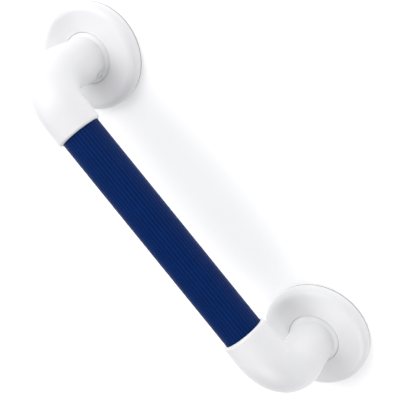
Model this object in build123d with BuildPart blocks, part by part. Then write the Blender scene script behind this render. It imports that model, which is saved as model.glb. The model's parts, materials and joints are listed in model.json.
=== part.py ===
from build123d import *
import os
from math import cos, radians, sin

# Fluted grab rail: a ribbed tube held off the wall by two moulded elbows on screw-fixed
# wall plates, each plate hidden by a round cover that slides up the elbow's stem.
# Millimetres. +Z points out of the wall, +X runs along the rail to its upper end, and the
# origin is midway between the two flanges on the wall plane.

# ---- rail ----
centre_distance = 305.0     # between the two flange centres, the 12 inch length
rail_height = 80.0          # wall to the middle of the grip
grip_radius = 17.0          # over the ribs
flute_count = 36
flute_depth = 0.45
flute_cutter = 0.9          # radius of each rounded groove
core_radius = 14.5
core_wall = 2.0
skin_gap = 0.1              # between the sleeve and the core tube

# ---- elbows ----
bend_radius = 33.0          # centreline
elbow_radius = 19.75        # round the socket and the bend
stem_radius = 18.9          # at its foot, a little less than the bend
foot_radius = 22.0          # flared ring round the stem's foot, inside the cover's hole
foot_height = 12.3          # wall to the flare's lower edge
foot_rise = 2.2             # height of the flare
elbow_reach = 51.0          # flange centre to the socket's mouth, along the rail
mouth_round = 2.2
socket_depth = 24.0
socket_gap = 0.15           # radial, round the ribs
tube_end_gap = 0.5          # tube's end to the socket's floor
cavity_radius = 15.5

# ---- flange, from the wall out ----
gasket_thickness = 1.8
gasket_radius = 46.3
gasket_bore = 12.0
plate_thickness = 5.0
plate_radius = 42.6
bead_height = 0.6           # how far the snap bead stands out of the plate's rim
spigot_radius = 16.5
spigot_bore = 13.0
spigot_top = 27.0
spigot_gap = 0.1
cover_radius = 46.5
cover_height = 12.5         # wall to the cover's face
cover_wall = 2.2
cover_roll = 7.0            # radius of the rolled edge
cover_hole_radius = 22.3
cover_seat_gap = 0.2        # cover rim to gasket
collar_depth = 4.0          # turned-down lip round the cover's hole
rib_gap = 0.3               # cover's centring ribs to the snap bead

# ---- fixings ----
wall_screw_circle = 64.0    # pitch circle diameter
wall_screw_count = 3
wall_hole_radius = 2.75
wall_sink_radius = 5.4
gasket_hole_radius = 3.6
lock_height = 20.5          # lock screw above the wall
upper_lock_turn = 16.0      # degrees round the stem from the side that faces the rail
lower_lock_turn = 50.0      # drilled further round than on the upper elbow
lock_head_radius = 3.2
lock_head_height = 3.6      # rim and dome together
lock_head_rim = 0.9         # straight edge under the dome
lock_seat = 18.2            # stem axis to the flat under the head
lock_shank = 1.9
insert_radius = 3.0
tube_screw_inset = 9.0      # socket mouth to the tube screw
tube_screw_shank = 1.75
tube_screw_head = 3.25
tube_screw_length = 15.0
tube_screw_sink = 0.4       # head below the elbow's skin
seal_inset = 5.0            # socket mouth to the seal groove
seal_section = 0.62         # radius of the O-ring's round section
seal_groove = 1.25          # depth of its groove in the socket's wall
screw_gap = 0.2             # radial, round a shank in a clearance hole
fit_gap = 0.05              # radial, round a threaded shank or a pressed insert

plate_top = gasket_thickness + plate_thickness
bend_height = rail_height - bend_radius
socket_radius = grip_radius + socket_gap
tube_end = centre_distance / 2 - elbow_reach + socket_depth - tube_end_gap
head_bottom = rail_height - elbow_radius + tube_screw_sink
clear_hole = tube_screw_shank + screw_gap
spigot_socket = spigot_radius + spigot_gap


def end_plane(side):
    """Frame of one flange: its origin is the flange centre and its X points off the rail."""
    return Plane(origin=(side * centre_distance / 2, 0, 0), x_dir=(side, 0, 0), z_dir=(0, 0, 1))


def section_plane(end):
    """Upright plane through a flange's axis and the rail's axis."""
    return Plane(origin=end.origin, x_dir=end.x_dir, z_dir=-end.y_dir)


def rail_plane(end, inset):
    """Plane across the rail, inset from the socket's mouth, facing into the elbow."""
    centre = end.from_local_coords(Vector(inset - elbow_reach, 0, rail_height))
    return Plane(origin=centre, x_dir=end.y_dir, z_dir=end.x_dir)


def lock_plane(end):
    """Plane across the lock screw, at the stem's axis, facing out along the screw."""
    angle = radians(upper_lock_turn if end.x_dir.X > 0 else lower_lock_turn)
    foot = end.from_local_coords(Vector(0, 0, lock_height))
    tip = end.from_local_coords(Vector(-cos(angle), -sin(angle), lock_height))
    return Plane(origin=foot, z_dir=tip - foot)


def underside_plane(end, height):
    """Plane under the socket at the tube screw, facing up from the wall."""
    return Plane(origin=end.from_local_coords(Vector(tube_screw_inset - elbow_reach, 0, height)))


def stem_axis(end):
    return Axis(end.origin, (0, 0, 1))


def save(piece, name):
    piece.part.label = name
    export_step(piece.part, f"parts/{name}.step")


# ---- grip and core ----
def make_grip_sleeve():
    """Extruded plastic sleeve with rounded flutes along its whole length."""
    with BuildPart() as sleeve:
        with BuildSketch(Plane.YZ.offset(-tube_end)):
            with Locations((0, rail_height)):
                Circle(grip_radius)
                Circle(core_radius + skin_gap, mode=Mode.SUBTRACT)
                with PolarLocations(grip_radius + flute_cutter - flute_depth, flute_count):
                    Circle(flute_cutter, mode=Mode.SUBTRACT)
        extrude(amount=2 * tube_end)
        for side in (1, -1):
            with BuildSketch(underside_plane(end_plane(side), rail_height)):
                Circle(clear_hole)
            extrude(amount=-grip_radius - 1, mode=Mode.SUBTRACT)
    return sleeve


def make_core_tube():
    """Aluminium tube that carries the load inside the sleeve."""
    with BuildPart() as tube:
        with BuildSketch(Plane.YZ.offset(-tube_end)):
            with Locations((0, rail_height)):
                Circle(core_radius)
                Circle(core_radius - core_wall, mode=Mode.SUBTRACT)
        extrude(amount=2 * tube_end)
        for side in (1, -1):
            with BuildSketch(underside_plane(end_plane(side), rail_height)):
                Circle(clear_hole)
            extrude(amount=-core_radius - 1, mode=Mode.SUBTRACT)
    return tube


# ---- elbow and what it holds ----
def elbow_path(end, foot):
    """Centreline from the socket's mouth, round the bend and down the stem."""
    with BuildLine(section_plane(end)) as path:
        arm = Line((-elbow_reach, rail_height), (-bend_radius, rail_height))
        bend = JernArc(arm @ 1, arm % 1, bend_radius, -90)
        if foot < bend_height:
            Line(bend @ 1, (0, foot))
    return path


def make_elbow(end):
    """Hollow moulded elbow: socket for the grip, bend, and a stem with a flared foot."""
    seal_play = 0.1
    past_skin = 1.0
    with BuildPart() as elbow:
        path = elbow_path(end, bend_height)
        with BuildSketch(rail_plane(end, 0)):
            Circle(elbow_radius)
        sweep(path=path.wires()[0])
        with BuildSketch(section_plane(end)):
            with BuildLine():
                Polyline(
                    (elbow_radius, bend_height),
                    (0, bend_height),
                    (0, plate_top),
                    (foot_radius, plate_top),
                    (foot_radius, foot_height),
                    (stem_radius, foot_height + foot_rise),
                    close=True,
                )
            make_face()
        revolve(axis=stem_axis(end))
        mouth = elbow.edges().filter_by(GeomType.CIRCLE).sort_by_distance(rail_plane(end, 0).origin)
        fillet(mouth[0], radius=mouth_round)

        hollow = elbow_path(end, plate_top)
        with BuildSketch(rail_plane(end, 0)):
            Circle(cavity_radius)
        sweep(path=hollow.wires()[0], mode=Mode.SUBTRACT)
        with BuildSketch(rail_plane(end, 0)):
            Circle(socket_radius)
        extrude(amount=socket_depth, mode=Mode.SUBTRACT)
        with BuildSketch(rail_plane(end, seal_inset - seal_section - seal_play)):
            Circle(socket_radius + seal_groove)
        extrude(amount=2 * (seal_section + seal_play), mode=Mode.SUBTRACT)
        with BuildSketch(end.offset(plate_top)):
            Circle(spigot_socket)
        extrude(amount=spigot_top + 1 - plate_top, mode=Mode.SUBTRACT)

        lock = lock_plane(end)
        with BuildSketch(lock):
            Circle(lock_shank + screw_gap)
        extrude(amount=stem_radius + past_skin, mode=Mode.SUBTRACT)
        with BuildSketch(lock.offset(lock_seat)):
            Circle(lock_head_radius + screw_gap)
        extrude(amount=lock_head_height, mode=Mode.SUBTRACT)

        under = underside_plane(end, head_bottom)
        with BuildSketch(under):
            Circle(clear_hole)
        extrude(amount=elbow_radius - socket_radius + past_skin, mode=Mode.SUBTRACT)
        with BuildSketch(under.offset(-past_skin)):
            Circle(tube_screw_head + past_skin + fit_gap)
        extrude(amount=tube_screw_head + past_skin + fit_gap - clear_hole, taper=45, mode=Mode.SUBTRACT)
    return elbow


def make_tube_seal(end):
    """O-ring in the socket's groove that keeps water out of the tube."""
    ring_plane = Plane(origin=rail_plane(end, seal_inset).origin, x_dir=(0, 0, 1), z_dir=end.y_dir)
    ring_radius = socket_radius + seal_section - fit_gap
    with BuildPart() as seal:
        with BuildSketch(ring_plane):
            with Locations((ring_radius, 0)):
                Circle(seal_section)
        revolve(axis=Axis(ring_plane.origin, end.x_dir))
    return seal


def make_core_plug(end):
    """Nylon plug in the core tube's end, solid where the tube screw bites."""
    shoulder = 2.0
    body_length = 25.0
    cored_depth = 10.0
    cored_radius = 8.0
    plug_gap = 0.15
    face = socket_depth - tube_end_gap
    with BuildPart() as plug:
        with BuildSketch(rail_plane(end, face)):
            Circle(core_radius - core_wall - plug_gap)
        extrude(amount=-body_length)
        chamfer(plug.edges().filter_by(GeomType.CIRCLE).sort_by(Axis(end.origin, end.x_dir))[0], 1.0)
        with BuildSketch(rail_plane(end, face)):
            Circle(core_radius - 2 * plug_gap)
        extrude(amount=shoulder)
        with BuildSketch(rail_plane(end, face + shoulder)):
            Circle(cored_radius)
        extrude(amount=-cored_depth, mode=Mode.SUBTRACT)
        with BuildSketch(underside_plane(end, head_bottom)):
            Circle(tube_screw_shank + fit_gap)
        extrude(amount=tube_screw_length + 1, mode=Mode.SUBTRACT)
    return plug


def make_tube_screw(end):
    """Countersunk screw, from the wall side of the socket into the core plug."""
    sink = tube_screw_head - tube_screw_shank
    slot_length, slot_width, slot_depth = 3.4, 0.7, 0.9
    with BuildPart() as screw:
        with BuildSketch(underside_plane(end, head_bottom)):
            Circle(tube_screw_head)
        extrude(amount=sink, taper=45)
        with BuildSketch(underside_plane(end, head_bottom)):
            Circle(tube_screw_shank)
        extrude(amount=tube_screw_length)
        with BuildSketch(underside_plane(end, head_bottom)):
            Rectangle(slot_length, slot_width)
            Rectangle(slot_width, slot_length)
        extrude(amount=slot_depth, mode=Mode.SUBTRACT)
    return screw


# ---- lock between elbow and wall plate ----
def make_lock_screw(end):
    """Domed screw through the stem into the plate's spigot."""
    lock = lock_plane(end)
    head_face = lock_seat + lock_head_height
    rim_face = lock_seat + lock_head_rim
    dome_height = lock_head_height - lock_head_rim
    dome_radius = (lock_head_radius**2 + dome_height**2) / (2 * dome_height)
    tip = spigot_bore + fit_gap
    hex_radius = 1.35
    hex_depth = 1.4
    with BuildPart() as screw:
        with BuildSketch(Plane(origin=lock.origin, x_dir=lock.x_dir, z_dir=-lock.y_dir)):
            with BuildLine():
                Polyline(
                    (0, head_face),
                    (0, tip),
                    (lock_shank, tip),
                    (lock_shank, lock_seat),
                    (lock_head_radius, lock_seat),
                    (lock_head_radius, rim_face),
                )
                RadiusArc((lock_head_radius, rim_face), (0, head_face), -dome_radius)
            make_face()
        revolve(axis=Axis(lock.origin, lock.z_dir))
        with BuildSketch(lock.offset(head_face)):
            RegularPolygon(hex_radius, 6)
        extrude(amount=-hex_depth, mode=Mode.SUBTRACT)
    return screw


def make_lock_insert(end):
    """Brass insert in the spigot's wall, waisted so that the plastic grips it."""
    lock = lock_plane(end)
    recess = 0.4
    inner = spigot_bore + recess
    outer = spigot_radius - recess
    waist = 0.7
    waist_depth = 0.4
    with BuildPart() as insert:
        with BuildSketch(lock.offset(inner)):
            Circle(insert_radius)
        extrude(amount=outer - inner)
        with BuildSketch(lock.offset((inner + outer - waist) / 2)):
            Circle(insert_radius)
            Circle(insert_radius - waist_depth, mode=Mode.SUBTRACT)
        extrude(amount=waist, mode=Mode.SUBTRACT)
        with BuildSketch(lock.offset(inner)):
            Circle(lock_shank + fit_gap)
        extrude(amount=outer - inner, mode=Mode.SUBTRACT)
    return insert


# ---- flange ----
def make_wall_plate(end):
    """Round plate screwed to the wall, with stiffening ribs and a spigot for the stem."""
    bead = plate_radius + bead_height
    middle = gasket_thickness + plate_thickness / 2
    rib_inner = cover_hole_radius + 3
    rib_outer = plate_radius - 2
    rib_width = 1.8
    rib_height = 2.0
    washer_land = 1.5
    past_skin = 1.0
    with BuildPart() as plate:
        with BuildSketch(section_plane(end)):
            with BuildLine():
                Polyline(
                    (spigot_bore, gasket_thickness),
                    (plate_radius, gasket_thickness),
                    (plate_radius, middle - bead_height),
                    (bead, middle),
                    (plate_radius, middle + bead_height),
                    (plate_radius, plate_top),
                    (spigot_radius, plate_top),
                    (spigot_radius, spigot_top),
                    (spigot_bore, spigot_top),
                    close=True,
                )
            make_face()
        revolve(axis=stem_axis(end))
        with BuildSketch(end.offset(plate_top)):
            with PolarLocations((rib_inner + rib_outer) / 2, 2 * wall_screw_count, start_angle=30):
                Rectangle(rib_outer - rib_inner, rib_width)
            with PolarLocations(wall_screw_circle / 2, wall_screw_count):
                Circle(wall_sink_radius + washer_land, mode=Mode.SUBTRACT)
        extrude(amount=rib_height)
        with Locations(end.offset(plate_top)):
            with PolarLocations(wall_screw_circle / 2, wall_screw_count):
                CounterSinkHole(wall_hole_radius, wall_sink_radius, counter_sink_angle=90)
        with BuildSketch(lock_plane(end)):
            Circle(insert_radius + fit_gap)
        extrude(amount=spigot_radius + past_skin, mode=Mode.SUBTRACT)
    return plate


def make_gasket(end):
    """Soft disc between the plate and the wall, pierced for the wall screws."""
    with BuildPart() as gasket:
        with BuildSketch(end):
            Circle(gasket_radius)
            Circle(gasket_bore, mode=Mode.SUBTRACT)
            with PolarLocations(wall_screw_circle / 2, wall_screw_count):
                Circle(gasket_hole_radius, mode=Mode.SUBTRACT)
        extrude(amount=gasket_thickness)
    return gasket


def make_cover(end):
    """Thin round shell with a rolled edge and a turned-down lip round the stem's hole."""
    rim = gasket_thickness + cover_seat_gap
    inner_radius = cover_radius - cover_wall
    inner_top = cover_height - cover_wall
    roll_height = cover_height - cover_roll
    flat_radius = cover_radius - cover_roll
    lip_round = 0.3
    collar_radius = cover_hole_radius + 1.8
    rim_round = 0.4
    rib_width = 1.6
    rib_foot = rim + 0.5
    rib_root = inner_radius + 0.3
    rib_face = plate_radius + bead_height + rib_gap
    with BuildPart() as cover:
        with BuildSketch(section_plane(end)):
            with BuildLine():
                Line((inner_radius, rim), (cover_radius - rim_round, rim))
                RadiusArc((cover_radius - rim_round, rim), (cover_radius, rim + rim_round), -rim_round)
                Line((cover_radius, rim + rim_round), (cover_radius, roll_height))
                RadiusArc((cover_radius, roll_height), (flat_radius, cover_height), -cover_roll)
                Line((flat_radius, cover_height), (cover_hole_radius + lip_round, cover_height))
                RadiusArc(
                    (cover_hole_radius + lip_round, cover_height),
                    (cover_hole_radius, cover_height - lip_round),
                    -lip_round,
                )
                Polyline(
                    (cover_hole_radius, cover_height - lip_round),
                    (cover_hole_radius, cover_height - collar_depth),
                    (collar_radius, cover_height - collar_depth),
                    (collar_radius, inner_top),
                    (flat_radius, inner_top),
                )
                RadiusArc((flat_radius, inner_top), (inner_radius, roll_height), cover_roll - cover_wall)
                Line((inner_radius, roll_height), (inner_radius, rim))
            make_face()
        revolve(axis=stem_axis(end))
        with BuildSketch(end.offset(rib_foot)):
            with PolarLocations((rib_face + rib_root) / 2, 2 * wall_screw_count, start_angle=30):
                Rectangle(rib_root - rib_face, rib_width)
        extrude(amount=roll_height - rib_foot)
    return cover


end_pieces = {
    "elbow": make_elbow,
    "cover": make_cover,
    "wall_plate": make_wall_plate,
    "gasket": make_gasket,
    "lock_screw": make_lock_screw,
    "lock_insert": make_lock_insert,
    "tube_screw": make_tube_screw,
    "core_plug": make_core_plug,
    "tube_seal": make_tube_seal,
}

os.makedirs("parts", exist_ok=True)
save(make_grip_sleeve(), "grip_sleeve")
save(make_core_tube(), "core_tube")
for end_name, side in (("upper", 1), ("lower", -1)):
    for piece_name, make in end_pieces.items():
        save(make(end_plane(side)), f"{end_name}_{piece_name}")
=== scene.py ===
import json
from math import cos, pi, radians, sin, tau

import bmesh
import bpy
from bpy.props import FloatProperty, FloatVectorProperty, IntProperty, PointerProperty
from mathutils import Matrix, Vector


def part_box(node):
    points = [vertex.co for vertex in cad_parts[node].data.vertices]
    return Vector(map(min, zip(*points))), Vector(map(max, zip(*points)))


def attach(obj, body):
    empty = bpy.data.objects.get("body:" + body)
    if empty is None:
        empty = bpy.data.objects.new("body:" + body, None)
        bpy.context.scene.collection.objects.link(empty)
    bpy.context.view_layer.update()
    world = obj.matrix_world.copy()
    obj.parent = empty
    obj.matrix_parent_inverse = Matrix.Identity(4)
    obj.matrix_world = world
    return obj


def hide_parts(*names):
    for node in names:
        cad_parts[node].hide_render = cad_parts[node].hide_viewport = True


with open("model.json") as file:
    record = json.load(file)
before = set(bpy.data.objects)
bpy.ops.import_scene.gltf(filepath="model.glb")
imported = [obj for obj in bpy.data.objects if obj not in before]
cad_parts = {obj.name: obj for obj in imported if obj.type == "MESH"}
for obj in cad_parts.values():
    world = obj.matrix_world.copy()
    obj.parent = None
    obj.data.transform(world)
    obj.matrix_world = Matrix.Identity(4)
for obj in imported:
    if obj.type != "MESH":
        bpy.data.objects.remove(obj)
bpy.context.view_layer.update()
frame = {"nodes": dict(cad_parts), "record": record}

bl_info = {
    "name": "Fluted Grab Rail",
    "version": (1, 0, 0),
    "blender": (4, 5, 0),
    "location": "3D View > Sidebar > Grab Rail",
    "description": "Finishes a packed wall grab rail: ribbed grip, moulded elbows, covers and fixings",
    "category": "Object",
}

BOTH_ENDS = ("upper", "lower")


# ---------------------------------------------------------------- sizes and colours
class GrabRailSizes(bpy.types.PropertyGroup):
    """Sizes of the details that are finished here rather than in the frame."""

    grip_radius: FloatProperty(
        name="Grip radius", description="Radius over the ribs", default=0.017, unit="LENGTH")
    flute_count: IntProperty(
        name="Flutes", description="Grooves round the grip", default=36, min=12, max=72)
    flute_depth: FloatProperty(
        name="Flute depth", description="Depth of each groove", default=0.00042, unit="LENGTH")
    flute_share: FloatProperty(
        name="Flute share", description="Part of each pitch that the groove takes",
        default=0.34, min=0.1, max=0.9, subtype="FACTOR")
    rib_crown: FloatProperty(
        name="Rib crown", description="How much higher each rib's middle is than its shoulders",
        default=0.00008, unit="LENGTH")
    lock_shank: FloatProperty(
        name="Lock screw shank", description="Radius over its thread", default=0.0019, unit="LENGTH")
    lock_socket: FloatProperty(
        name="Lock screw socket", description="Half the width across its flats",
        default=0.00117, unit="LENGTH")
    tube_shank: FloatProperty(
        name="Tube screw shank", description="Radius over its thread", default=0.00175, unit="LENGTH")
    thread_pitch: FloatProperty(
        name="Thread pitch", description="Pitch of the lock and tube screws",
        default=0.0008, unit="LENGTH")
    thread_depth: FloatProperty(
        name="Thread depth", description="Depth of those threads", default=0.0003, unit="LENGTH")
    orange_peel: FloatProperty(
        name="Orange peel", description="Height of the moulded skin's faint waviness",
        default=0.00003, unit="LENGTH")
    seam_width: FloatProperty(
        name="Seam width", description="Width of the fine line where the elbow's mould parts",
        default=0.0003, unit="LENGTH")
    seam_height: FloatProperty(
        name="Seam height", description="Height of that line", default=0.00004, unit="LENGTH")
    gasket_bore: FloatProperty(
        name="Gasket bore", description="Radius of its middle hole", default=0.012, unit="LENGTH")
    gasket_hole: FloatProperty(
        name="Gasket hole", description="Radius of its wall screw holes", default=0.0036, unit="LENGTH")
    gasket_round: FloatProperty(
        name="Gasket edge", description="Rounding of the gasket's squeezed edge",
        default=0.0006, unit="LENGTH")


class GrabRailColours(bpy.types.PropertyGroup):
    """Base colours of the finishes."""

    moulding: FloatVectorProperty(
        name="Moulded plastic", description="White of the elbows, covers and plates",
        default=(0.86, 0.86, 0.866), subtype="COLOR", min=0, max=1)
    grip: FloatVectorProperty(
        name="Grip", description="Blue of the ribbed sleeve",
        default=(0.0022, 0.019, 0.107), subtype="COLOR", min=0, max=1)
    gasket: FloatVectorProperty(
        name="Gasket", description="Pale grey of the foam gasket",
        default=(0.58, 0.58, 0.57), subtype="COLOR", min=0, max=1)
    screw_cap: FloatVectorProperty(
        name="Lock screw", description="White coating of the lock screw's head",
        default=(0.72, 0.72, 0.73), subtype="COLOR", min=0, max=1)
    nylon: FloatVectorProperty(
        name="Nylon", description="Natural nylon of the core plugs",
        default=(0.70, 0.67, 0.58), subtype="COLOR", min=0, max=1)
    seal: FloatVectorProperty(
        name="Seal rubber", description="Black of the O-rings",
        default=(0.012, 0.012, 0.013), subtype="COLOR", min=0, max=1)
    floor: FloatVectorProperty(
        name="Floor", description="Pale studio floor",
        default=(0.93, 0.93, 0.93), subtype="COLOR", min=0, max=1)


class GrabRailStage(bpy.types.PropertyGroup):
    """Where the camera and the lights stand."""

    azimuth: FloatProperty(
        name="Azimuth", description="Camera turned round the rail",
        default=radians(2.57), subtype="ANGLE")
    elevation: FloatProperty(
        name="Elevation", description="Camera above the wall plane",
        default=radians(53.66), subtype="ANGLE")
    roll: FloatProperty(
        name="Roll", description="Camera turned about its own axis",
        default=radians(-130.99), subtype="ANGLE")
    distance: FloatProperty(
        name="Distance", description="Camera to the point it looks at",
        default=0.7658, unit="LENGTH")
    lens: FloatProperty(
        name="Lens", description="Focal length in millimetres on a 36 mm sensor", default=80.45)
    aim: FloatVectorProperty(
        name="Aim", description="Point that the camera looks at",
        default=(-0.0002, 0.0065, 0.0047), subtype="TRANSLATION", unit="LENGTH")
    key_power: FloatProperty(
        name="Key light", description="Power of the light over the upper end",
        default=41.0, unit="POWER")
    front_power: FloatProperty(
        name="Front fill", description="Power of the fill by the camera", default=23.0, unit="POWER")
    side_power: FloatProperty(
        name="Side fill", description="Power of the fill over the lower end",
        default=31.0, unit="POWER")
    back_power: FloatProperty(
        name="Back fill", description="Power of the fill behind the rail", default=15.0, unit="POWER")
    sky_strength: FloatProperty(
        name="Surround", description="Brightness of the pale surround", default=0.34)
    floor_glow: FloatProperty(
        name="Floor glow", description="Light that the floor gives by itself", default=0.25)


def sizes():
    return bpy.context.scene.grab_rail_sizes


def colours():
    return bpy.context.scene.grab_rail_colours


def stage():
    return bpy.context.scene.grab_rail_stage


# ---------------------------------------------------------------- material helper
class Finish:
    """One procedural material: a principled shader and the nodes that feed it, in metres."""

    def __init__(self, name):
        self.material = bpy.data.materials.new(f"{name}_finish")
        self.material.use_nodes = True
        self.nodes = self.material.node_tree.nodes
        self.shader = self.nodes["Principled BSDF"]
        self.place = self.add("ShaderNodeTexCoord").outputs["Object"]

    def add(self, kind, **inputs):
        """A node with its inputs set to values, or linked where a value is another node's output."""
        node = self.nodes.new(kind)
        for key, value in inputs.items():
            self.feed(node.inputs[key.replace("_", " ")], value)
        return node

    def feed(self, socket, value):
        if isinstance(value, bpy.types.NodeSocket):
            self.material.node_tree.links.new(value, socket)
        else:
            socket.default_value = value

    def set(self, **inputs):
        """Shader inputs, by name with spaces as underscores."""
        for key, value in inputs.items():
            self.feed(self.shader.inputs[key.replace("_", " ")], value)

    def stretched(self, scale):
        """Coordinates stretched by a different scale on each axis."""
        return self.add("ShaderNodeMapping", Vector=self.place, Scale=scale).outputs["Vector"]

    def noise(self, scale, detail=2.0, roughness=0.5, place=None):
        """Cloudy noise, at the object's own place or at a stretched one."""
        node = self.add("ShaderNodeTexNoise", Scale=scale, Detail=detail, Roughness=roughness)
        self.feed(node.inputs["Vector"], place or self.place)
        return node.outputs["Fac"]

    def cells(self, scale):
        """Distance to the middle of the nearest of many small cells."""
        return self.add("ShaderNodeTexVoronoi", Vector=self.place, Scale=scale).outputs["Distance"]

    def remap(self, value, low, high, to_low, to_high):
        """A value's range from low to high, moved to another range and clamped there."""
        limits = {"From Min": low, "From Max": high, "To Min": to_low, "To Max": to_high}
        node = self.add("ShaderNodeMapRange", Value=value)
        for key, number in limits.items():
            self.feed(node.inputs[key], number)
        return node.outputs["Result"]

    def maths(self, operation, first, second=0.0):
        node = self.nodes.new("ShaderNodeMath")
        node.operation = operation
        self.feed(node.inputs[0], first)
        self.feed(node.inputs[1], second)
        return node.outputs["Value"]

    def blend(self, share, first, second):
        """Colour that goes from the first to the second as share goes from 0 to 1."""
        first_colour, second_colour, mixed_colour = 6, 7, 2
        node = self.nodes.new("ShaderNodeMix")
        node.data_type = "RGBA"
        self.feed(node.inputs["Factor"], share)
        self.feed(node.inputs[first_colour], first)
        self.feed(node.inputs[second_colour], second)
        return node.outputs[mixed_colour]

    def bump(self, height, distance, strength=1.0, under=None):
        """Relief of a given height in metres, on top of another one if there is one."""
        node = self.add("ShaderNodeBump", Height=height, Distance=distance, Strength=strength)
        if under is not None:
            self.feed(node.inputs["Normal"], under)
        return node.outputs["Normal"]


def tone(colour, factor=1.0, shift=(0, 0, 0)):
    """A colour made lighter or darker, with a small shift, and an alpha of 1."""
    return tuple(min(1.0, max(0.0, c * factor + s)) for c, s in zip(colour, shift)) + (1.0,)


# ---------------------------------------------------------------- finishes
def moulded_plastic(name="white_moulded_plastic", seam=False):
    """White moulding with an orange-peel skin, flow marks, haze, and the mould's seam if it has one."""
    grain_height = 0.000004
    f = Finish(name)
    white = colours().moulding
    flow = f.noise(22.0, 3.0, 0.55)
    haze = f.noise(60.0, 4.0, 0.6)
    scuffs = f.noise(1.0, 5.0, 0.7, f.stretched((60.0, 60.0, 900.0)))
    marks = f.remap(scuffs, 0.60, 0.74, 0.0, 1.0)
    rough = f.maths("ADD", f.remap(haze, 0.3, 0.7, 0.33, 0.42), f.maths("MULTIPLY", marks, 0.08))
    peel = f.bump(f.noise(520.0, 2.0), sizes().orange_peel)
    grain = f.bump(f.noise(4200.0, 2.0), grain_height, under=peel)
    if seam:
        across = f.add("ShaderNodeSeparateXYZ", Vector=f.place).outputs["Y"]
        ridge = f.remap(f.maths("ABSOLUTE", across), 0.0, sizes().seam_width / 2, 1.0, 0.0)
        grain = f.bump(ridge, sizes().seam_height, under=grain)
    f.set(Base_Color=f.blend(flow, tone(white, 0.985, (0, 0, 0.004)), tone(white, 1.02)))
    f.set(Roughness=rough, Normal=grain, IOR=1.52, Specular_IOR_Level=0.5)
    return f.material


def grip_plastic():
    """Satin blue extrusion: lengthwise die lines, painted shade darkening the grooves, ribs polished by
    hands.
    """
    die_line_height = 0.00002
    f = Finish("blue_fluted_plastic")
    blue = colours().grip
    axis_height = middle("grip_sleeve").z
    crest, depth = sizes().grip_radius, sizes().flute_depth
    xyz = f.add("ShaderNodeSeparateXYZ", Vector=f.place)
    across = f.maths("POWER", xyz.outputs["Y"], 2.0)
    height = f.maths("SUBTRACT", xyz.outputs["Z"], axis_height)
    reach = f.maths("SQRT", f.maths("ADD", across, f.maths("MULTIPLY", height, height)))
    rib = f.remap(reach, crest - 0.8 * depth, crest - 0.2 * depth, 0.0, 1.0)
    die_lines = f.noise(1.0, 4.0, 0.65, f.stretched((14.0, 1500.0, 1500.0)))
    cloud = f.noise(70.0, 3.0, 0.6)
    # painted shade: the colour is darkened to 0.7 of the blue in the grooves and lifted to 1.05 on the
    # rib tops, standing in for the shade that falls in the grooves
    painted_groove_shade = f.blend(rib, tone(blue, 0.7), tone(blue, 1.05))
    mottled_and_groove_shade = f.blend(f.remap(cloud, 0.35, 0.65, 0.0, 0.35), painted_groove_shade, tone(blue, 1.35))
    rough = f.maths("ADD", f.remap(die_lines, 0.3, 0.7, 0.30, 0.44), f.remap(rib, 0, 1, 0.10, 0.0))
    f.set(Base_Color=mottled_and_groove_shade, Roughness=rough, Normal=f.bump(die_lines, die_line_height))
    f.set(IOR=1.5, Specular_IOR_Level=0.06)
    return f.material


def gasket_foam():
    """Closed-cell foam, matte and finely pitted."""
    pit_depth = 0.00008
    f = Finish("pale_gasket_rubber")
    grey = colours().gasket
    pits = f.cells(1700.0)
    f.set(Base_Color=f.blend(f.noise(300.0, 3.0), tone(grey, 0.92), tone(grey, 1.06)))
    f.set(Roughness=f.remap(pits, 0.0, 0.8, 0.92, 0.78), Normal=f.bump(pits, pit_depth, 0.6))
    return f.material


def coated_screw():
    """White powder coat over steel, slightly thin where a key has turned it."""
    coat_texture = 0.00002
    f = Finish("white_coated_screw")
    white = colours().screw_cap
    chips = f.remap(f.noise(900.0, 4.0, 0.7), 0.66, 0.70, 0.0, 1.0)
    f.set(Base_Color=f.blend(chips, tone(white), tone(white, 0.78)))
    f.set(Roughness=f.remap(f.noise(1500.0), 0.3, 0.7, 0.28, 0.42))
    f.set(Normal=f.bump(f.noise(2200.0, 3.0), coat_texture))
    return f.material


def drawn_aluminium():
    """Mill-finish tube with lengthwise drawing lines."""
    line_depth = 0.00001
    f = Finish("core_aluminium")
    lines = f.noise(1.0, 5.0, 0.7, f.stretched((10.0, 2200.0, 2200.0)))
    f.set(Base_Color=f.blend(lines, (0.62, 0.63, 0.65, 1), (0.80, 0.81, 0.82, 1)))
    f.set(Metallic=1.0, Roughness=f.remap(lines, 0.3, 0.7, 0.28, 0.42))
    f.set(Normal=f.bump(lines, line_depth))
    return f.material


def turned_brass():
    """Turned brass with fine rings and a touch of tarnish."""
    ring_depth = 0.00001
    f = Finish("insert_brass")
    rings = f.noise(1.0, 3.0, 0.6, f.stretched((2600.0, 500.0, 500.0)))
    tarnish = f.remap(f.noise(400.0, 4.0), 0.45, 0.65, 0.0, 0.5)
    f.set(Base_Color=f.blend(tarnish, (0.71, 0.49, 0.18, 1), (0.40, 0.27, 0.12, 1)))
    f.set(Metallic=1.0, Roughness=f.remap(rings, 0.3, 0.7, 0.22, 0.40))
    f.set(Normal=f.bump(rings, ring_depth))
    return f.material


def stainless_steel():
    """Cold-headed stainless screw, faintly brushed."""
    brush_depth = 0.00001
    f = Finish("stainless_screw")
    brushed = f.noise(1.0, 4.0, 0.6, f.stretched((1800.0, 1800.0, 400.0)))
    f.set(Base_Color=f.blend(brushed, (0.50, 0.50, 0.49, 1), (0.66, 0.66, 0.64, 1)))
    f.set(Metallic=1.0, Roughness=f.remap(brushed, 0.3, 0.7, 0.20, 0.36))
    f.set(Normal=f.bump(brushed, brush_depth))
    return f.material


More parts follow.
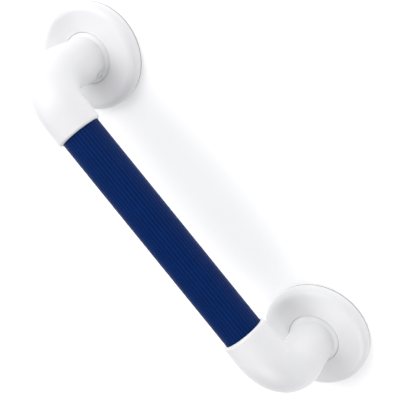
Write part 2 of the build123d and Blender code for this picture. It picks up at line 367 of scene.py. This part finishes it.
def natural_nylon():
    """Waxy natural nylon with a soft moulded grain."""
    grain_height = 0.00002
    f = Finish("plug_nylon")
    cream = colours().nylon
    f.set(Base_Color=f.blend(f.noise(120.0, 3.0), tone(cream, 0.93), tone(cream, 1.05)))
    f.set(Roughness=f.remap(f.noise(500.0, 3.0), 0.3, 0.7, 0.42, 0.56), Subsurface_Weight=0.1)
    f.set(Normal=f.bump(f.noise(1400.0), grain_height))
    return f.material


def seal_rubber():
    """Black nitrile with a dusty bloom."""
    skin_height = 0.00001
    f = Finish("black_seal_rubber")
    black = colours().seal
    bloom = f.remap(f.noise(600.0, 4.0, 0.6), 0.45, 0.75, 0.0, 0.4)
    f.set(Base_Color=f.blend(bloom, tone(black), tone(black, 3.5)))
    f.set(Roughness=f.remap(bloom, 0.0, 0.4, 0.45, 0.7))
    f.set(Normal=f.bump(f.noise(2500.0), skin_height))
    return f.material


def studio_floor():
    """Pale matte floor with the faintest unevenness, and a glow of its own."""
    f = Finish("studio_floor")
    pale = colours().floor
    f.set(Base_Color=f.blend(f.noise(3.0, 2.0), tone(pale, 0.99), tone(pale, 1.0)), Roughness=0.9)
    f.set(Emission_Color=(1.0, 1.0, 1.0, 1.0), Emission_Strength=stage().floor_glow)
    return f.material


FINISHES = {
    "white_moulded_plastic": moulded_plastic,
    "blue_fluted_plastic": grip_plastic,
    "pale_gasket_rubber": gasket_foam,
    "white_coated_screw": coated_screw,
    "core_aluminium": drawn_aluminium,
    "insert_brass": turned_brass,
    "stainless_screw": stainless_steel,
    "plug_nylon": natural_nylon,
    "black_seal_rubber": seal_rubber,
}


SLOT_OF = {part["node"]: part["material_slot"] for part in frame["record"]["subparts"]}


def finish_for(slot):
    """The material of a record slot, made the first time it is asked for."""
    return bpy.data.materials.get(f"{slot}_finish") or FINISHES[slot]()


def coat_node(node, finish=None):
    """Gives a CAD node a finish, or that of its own slot."""
    mesh = frame["nodes"][node].data
    mesh.materials.clear()
    mesh.materials.append(finish or finish_for(SLOT_OF[node]))


# ---------------------------------------------------------------- shapes turned about an axis
def level(radius):
    """A ring that is the same distance from the axis all round."""
    return lambda angle: radius


def fluted(crest):
    """Ring of rounded grooves between low-crowned ribs."""
    s = sizes()

    def reach(angle):
        place = (angle * s.flute_count / tau + 0.5) % 1.0 - 0.5
        groove = 0.5 + 0.5 * cos(tau * place / s.flute_share) if abs(place) < s.flute_share / 2 else 0.0
        shoulder = (2 * (0.5 - abs(place))) ** 2
        return crest - s.flute_depth * groove - s.rib_crown * shoulder

    return reach


def hexagon(half_width):
    """A six-sided ring, given half its width across the flats."""
    return lambda angle: half_width / cos((angle + pi / 6) % (pi / 3) - pi / 6)


def cross(half_length, half_width):
    """Ring round a cross recess with four equal arms."""
    never_zero = 0.001

    def reach(angle):
        off_arm = (angle + pi / 4) % (pi / 2) - pi / 4
        return min(half_length / cos(off_arm), half_width / max(abs(sin(off_arm)), never_zero))

    return reach


def shrunk(ring, inset):
    """The same ring, nearer the axis all round."""
    return lambda angle: ring(angle) - inset


def thread(low, high, crest):
    """Rings of a right-hand thread from one height to another."""
    pitch, depth = sizes().thread_pitch, sizes().thread_depth
    rings_per_turn = 8
    steps = round((high - low) / pitch * rings_per_turn)

    def turned_to(height):
        return lambda angle: crest - depth * abs(2 * ((height / pitch - angle / tau) % 1.0) - 1)

    heights = [low + (high - low) * step / steps for step in range(steps + 1)]
    return [(turned_to(height), height) for height in heights]


def rounded_band(inner, outer, low, high, bend):
    """Rings round a flat band's section with rounded corners, from the outer lower corner."""
    steps = 5
    corners = ((outer, 1, low), (outer, 1, high), (inner, -1, high), (inner, -1, low))
    rings = []
    for quarter, (ring, side, end) in enumerate(corners):
        for step in range(steps + 1):
            angle = (quarter + step / steps - 1) * pi / 2
            height = end + bend * (sin(angle) + (1 if end == low else -1))
            rings.append((shrunk(ring, bend * (side - cos(angle))), height))
    return rings


def turned_piece(name, rings, segments, axis, closed=False):
    """Mesh object through rings about an axis, its last ring joined to the first or both capped."""
    turned = bmesh.new()
    angles = [tau * step / segments for step in range(segments)]
    loops = [
        [turned.verts.new((ring(a) * cos(a), ring(a) * sin(a), height)) for a in angles]
        for ring, height in rings
    ]
    for first, second in zip(loops, loops[1:] + (loops[:1] if closed else [])):
        for here in range(segments):
            there = (here + 1) % segments
            turned.faces.new((first[here], first[there], second[there], second[here]))
    if not closed:
        turned.faces.new(loops[0])
        turned.faces.new(loops[-1])
    bmesh.ops.recalc_face_normals(turned, faces=turned.faces)
    turned.transform(axis)
    mesh = bpy.data.meshes.new(name)
    turned.to_mesh(mesh)
    turned.free()
    piece = bpy.data.objects.new(name, mesh)
    bpy.context.collection.objects.link(piece)
    return piece


def drill(piece, holes):
    """Cuts round holes, each given as the axis at its foot, its radius and its length."""
    segments = 32
    for axis, radius, length in holes:
        rings = [(level(radius), 0.0), (level(radius), length)]
        cutter = turned_piece("cutter", rings, segments, axis)
        cut = piece.modifiers.new("hole", "BOOLEAN")
        cut.object = cutter
    shape = piece.evaluated_get(bpy.context.evaluated_depsgraph_get())
    drilled = bpy.data.meshes.new_from_object(shape)
    for cut in list(piece.modifiers):
        cutter = cut.object
        piece.modifiers.remove(cut)
        bpy.data.objects.remove(cutter)
    piece.data = drilled


def finish_piece(piece, node, sharp=30.0):
    """Shades a new piece, gives it the finish of the node it stands for, and lets it ride there."""
    piece.data.shade_smooth()
    piece.data.set_sharp_from_angle(angle=radians(sharp))
    piece.data.materials.clear()
    piece.data.materials.append(finish_for(SLOT_OF[node]))
    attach(piece, "rail")
    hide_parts(node)


def middle(node):
    """The middle of a CAD node's box."""
    low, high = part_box(node)
    return (low + high) / 2


def upright(place):
    """Axis at a place, with its Z straight out of the wall."""
    return Matrix.Translation(place)


def facing(place, direction):
    """Axis at a place, with its Z along a direction."""
    return Matrix.Translation(place) @ direction.to_track_quat("Z", "Y").to_matrix().to_4x4()


# ---------------------------------------------------------------- operators
class GRABRAIL_OT_grip(bpy.types.Operator):
    """Build the fluted sleeve round the core tube"""

    bl_idname = "grab_rail.grip"
    bl_label = "Grip"

    def execute(self, context):
        skin_gap = 0.0001
        end_round = 0.0003
        screw_clearance = 0.0002
        segments = 20 * sizes().flute_count
        low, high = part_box("grip_sleeve")
        core_low, core_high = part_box("core_tube")
        centre = middle("core_tube")
        along_rail = Matrix(((0, 0, 1), (1, 0, 0), (0, 1, 0))).to_4x4()
        bore = level((core_high.z - core_low.z) / 2 + skin_gap)
        half_length = (high.x - low.x) / 2
        rings = rounded_band(bore, fluted(sizes().grip_radius), -half_length, half_length, end_round)
        sleeve = turned_piece("fluted_grip", rings, segments, upright(centre) @ along_rail, True)
        holes = []
        for end in BOTH_ENDS:
            screw = middle(f"{end}_tube_screw")
            down = facing(Vector((screw.x, screw.y, centre.z)), Vector((0, 0, -1)))
            holes.append((down, sizes().tube_shank + screw_clearance, sizes().grip_radius + end_round))
        drill(sleeve, holes)
        finish_piece(sleeve, "grip_sleeve", 50.0)
        coat_node("core_tube")
        return {"FINISHED"}


class GRABRAIL_OT_elbows(bpy.types.Operator):
    """Finish the two moulded elbows, with the fine line where their mould parts"""

    bl_idname = "grab_rail.elbows"
    bl_label = "Elbows"

    def execute(self, context):
        seamed = moulded_plastic("white_moulded_elbow", seam=True)
        for end in BOTH_ENDS:
            coat_node(f"{end}_elbow", seamed)
        return {"FINISHED"}


class GRABRAIL_OT_flanges(bpy.types.Operator):
    """Finish the covers and wall plates, and build the foam gaskets under them"""

    bl_idname = "grab_rail.flanges"
    bl_label = "Flanges"

    def execute(self, context):
        segments = 192
        radius_per_pcd_mm = 0.0005
        mounts = {mount["name"]: mount for mount in frame["record"]["mounts"]}
        for end, side in zip(BOTH_ENDS, (1, -1)):
            for piece in ("cover", "wall_plate"):
                coat_node(f"{end}_{piece}")
            low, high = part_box(f"{end}_gasket")
            centre = middle(f"{end}_gasket")
            foot = upright(Vector((centre.x, centre.y, low.z)))
            edge = level((high.x - low.x) / 2)
            bore = level(sizes().gasket_bore)
            rings = rounded_band(bore, edge, 0.0, high.z - low.z, sizes().gasket_round)
            gasket = turned_piece(f"{end}_foam_gasket", rings, segments, foot, True)
            pattern = mounts[f"{end}_screw_holes"]["dims"]
            out = side * pattern["pcd_mm"] * radius_per_pcd_mm
            below = Vector((0, 0, -high.z))
            holes = []
            for step in range(pattern["count"]):
                angle = tau * step / pattern["count"]
                offset = Vector((out * cos(angle), out * sin(angle), 0))
                holes.append((foot @ upright(offset + below), sizes().gasket_hole, 3 * high.z))
            drill(gasket, holes)
            finish_piece(gasket, f"{end}_gasket", 50.0)
        return {"FINISHED"}


class GRABRAIL_OT_screws(bpy.types.Operator):
    """Build the domed lock screws and the countersunk tube screws, with their threads"""

    bl_idname = "grab_rail.screws"
    bl_label = "Screws"
    segments = 96

    def execute(self, context):
        for end in BOTH_ENDS:
            self.lock_screw(end)
            self.tube_screw(end)
        return {"FINISHED"}

    def lock_screw(self, end):
        """Domed head with a hexagon socket, on a short threaded shank."""
        rim_height, socket_depth, lead = 0.0006, 0.0014, 0.0002
        dome_steps = 16
        node = f"{end}_lock_screw"
        head = (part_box(node)[1].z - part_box(node)[0].z) / 2
        stem = middle(f"{end}_cover")
        insert = middle(f"{end}_lock_insert")
        out = Vector((insert.x - stem.x, insert.y - stem.y, 0)).normalized()
        foot = Vector((stem.x, stem.y, insert.z))
        spots = [corner.co - foot for corner in frame["nodes"][node].data.vertices]
        reaches = [(spot.dot(out), (spot - out * spot.dot(out)).length) for spot in spots]
        tip = min(reach for reach, off in reaches)
        top = max(reach for reach, off in reaches)
        seat = min(reach for reach, off in reaches if off > 0.9 * head)
        socket = hexagon(sizes().lock_socket)
        mouth = sizes().lock_socket / cos(pi / 6) + lead
        past = pi / 2 - mouth / head
        dome = (top - seat - rim_height) / sin(past)
        rings = [(shrunk(socket, lead), top - socket_depth), (socket, top - socket_depth + lead)]
        rings += [(socket, top - lead), (level(mouth), top)]
        for step in reversed(range(dome_steps)):
            angle = past * step / dome_steps
            rings.append((level(head * cos(angle)), seat + rim_height + dome * sin(angle)))
        rings += [(level(head), seat + lead), (level(head - lead), seat)]
        rings += thread(tip + 2 * lead, seat - lead, sizes().lock_shank)[::-1]
        rings.append((level(sizes().lock_shank - sizes().thread_depth - lead), tip))
        screw = turned_piece(f"{end}_domed_screw", rings, self.segments, facing(foot, out))
        finish_piece(screw, node)

    def tube_screw(self, end):
        """Countersunk head with a cross recess, driven up from the wall side."""
        rim, recess_depth, point = 0.0002, 0.0012, 0.0015
        node = f"{end}_tube_screw"
        low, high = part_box(node)
        head = (high.x - low.x) / 2
        shank = sizes().tube_shank
        length = high.z - low.z
        arm, half_width = 0.55 * head, 0.13 * head
        rings = [
            (cross(0.45 * arm, 0.7 * half_width), recess_depth),
            (cross(arm, half_width), 0.0),
            (level(head - rim), 0.0),
            (level(head), rim),
            (level(shank), head - shank + rim),
        ]
        rings += thread(head - shank + 2 * rim, length - point, shank)
        rings.append((level(0.3 * shank), length))
        foot = upright(Vector((middle(node).x, middle(node).y, low.z)))
        screw = turned_piece(f"{end}_countersunk_screw", rings, self.segments, foot)
        finish_piece(screw, node)


class GRABRAIL_OT_fittings(bpy.types.Operator):
    """Finish the inserts, plugs and seals"""

    bl_idname = "grab_rail.fittings"
    bl_label = "Inserts, plugs and seals"

    def execute(self, context):
        for end in BOTH_ENDS:
            for piece in ("lock_insert", "core_plug", "tube_seal"):
                coat_node(f"{end}_{piece}")
        return {"FINISHED"}


def place_camera():
    """Camera on a sphere round its aim, rolled about its own axis."""
    sensor_width, nearest = 36.0, 0.01
    s = stage()
    back = Vector((
        sin(s.azimuth) * cos(s.elevation),
        -cos(s.azimuth) * cos(s.elevation),
        sin(s.elevation),
    ))
    camera = bpy.data.objects.new("camera", bpy.data.cameras.new("camera"))
    bpy.context.collection.objects.link(camera)
    aimed = (-back).to_track_quat("-Z", "Y").to_matrix()
    camera.matrix_world = (
        Matrix.Translation(Vector(s.aim) + back * s.distance)
        @ (aimed @ Matrix.Rotation(s.roll, 3, "Z")).to_4x4()
    )
    camera.data.lens = s.lens
    camera.data.sensor_width = sensor_width
    camera.data.clip_start = nearest
    bpy.context.scene.camera = camera


def soft_light(name, direction, power):
    """Large square area light that looks at the rail from a direction."""
    reach, size = 3.0, 2.0
    light = bpy.data.lights.new(name, "AREA")
    light.shape = "SQUARE"
    light.size = size
    light.energy = power
    lamp = bpy.data.objects.new(name, light)
    lamp.location = Vector(direction).normalized() * reach
    lamp.rotation_mode = "QUATERNION"
    lamp.rotation_quaternion = (-lamp.location).to_track_quat("-Z", "Y")
    bpy.context.collection.objects.link(lamp)


class GRABRAIL_OT_stage(bpy.types.Operator):
    """Build the pale floor, the soft studio lights and the camera"""

    bl_idname = "grab_rail.stage"
    bl_label = "Stage"

    def execute(self, context):
        s = stage()
        half = 4.0
        cool_white = (0.97, 0.97, 1.0, 1.0)
        mesh = bpy.data.meshes.new("floor")
        corners = [(-half, -half, 0.0), (half, -half, 0.0), (half, half, 0.0), (-half, half, 0.0)]
        mesh.from_pydata(corners, [], [(0, 1, 2, 3)])
        mesh.materials.append(studio_floor())
        floor = bpy.data.objects.new("floor", mesh)
        context.collection.objects.link(floor)

        soft_light("key_light", (1.0, 0.0, 1.0), s.key_power)
        soft_light("front_fill_light", (1.0, -1.0, 0.8), s.front_power)
        soft_light("side_fill_light", (-1.0, 0.0, 1.0), s.side_power)
        soft_light("back_fill_light", (1.0, 1.0, 0.8), s.back_power)

        world = bpy.data.worlds.new("surround")
        world.use_nodes = True
        context.scene.world = world
        background = world.node_tree.nodes["Background"]
        background.inputs["Color"].default_value = cool_white
        background.inputs["Strength"].default_value = s.sky_strength

        context.scene.view_settings.view_transform = "Standard"
        place_camera()
        return {"FINISHED"}


class GRABRAIL_PT_sidebar(bpy.types.Panel):
    """Lists the rail's pieces and its sizes and colours"""

    bl_idname = "GRABRAIL_PT_sidebar"
    bl_label = "Grab Rail"
    bl_space_type = "VIEW_3D"
    bl_region_type = "UI"
    bl_category = "Grab Rail"

    def draw(self, context):
        for operator in PIECE_OPERATORS:
            self.layout.operator(operator.bl_idname)
        for group in (sizes(), colours(), stage()):
            box = self.layout.box()
            for name in group.bl_rna.properties.keys():
                if name not in ("rna_type", "name"):
                    box.prop(group, name)


PIECE_OPERATORS = (
    GRABRAIL_OT_grip,
    GRABRAIL_OT_elbows,
    GRABRAIL_OT_flanges,
    GRABRAIL_OT_screws,
    GRABRAIL_OT_fittings,
    GRABRAIL_OT_stage,
)
SETTINGS = {
    "grab_rail_sizes": GrabRailSizes,
    "grab_rail_colours": GrabRailColours,
    "grab_rail_stage": GrabRailStage,
}


def register():
    for cls in (*SETTINGS.values(), *PIECE_OPERATORS, GRABRAIL_PT_sidebar):
        bpy.utils.register_class(cls)
    for name, group in SETTINGS.items():
        setattr(bpy.types.Scene, name, PointerProperty(type=group))


def unregister():
    for name in SETTINGS:
        delattr(bpy.types.Scene, name)
    for cls in (GRABRAIL_PT_sidebar, *reversed(PIECE_OPERATORS), *reversed(SETTINGS.values())):
        bpy.utils.unregister_class(cls)


def main():
    register()
    for operator in PIECE_OPERATORS:
        group, name = operator.bl_idname.split(".")
        getattr(getattr(bpy.ops, group), name)()


if __name__ == "__main__":
    main()
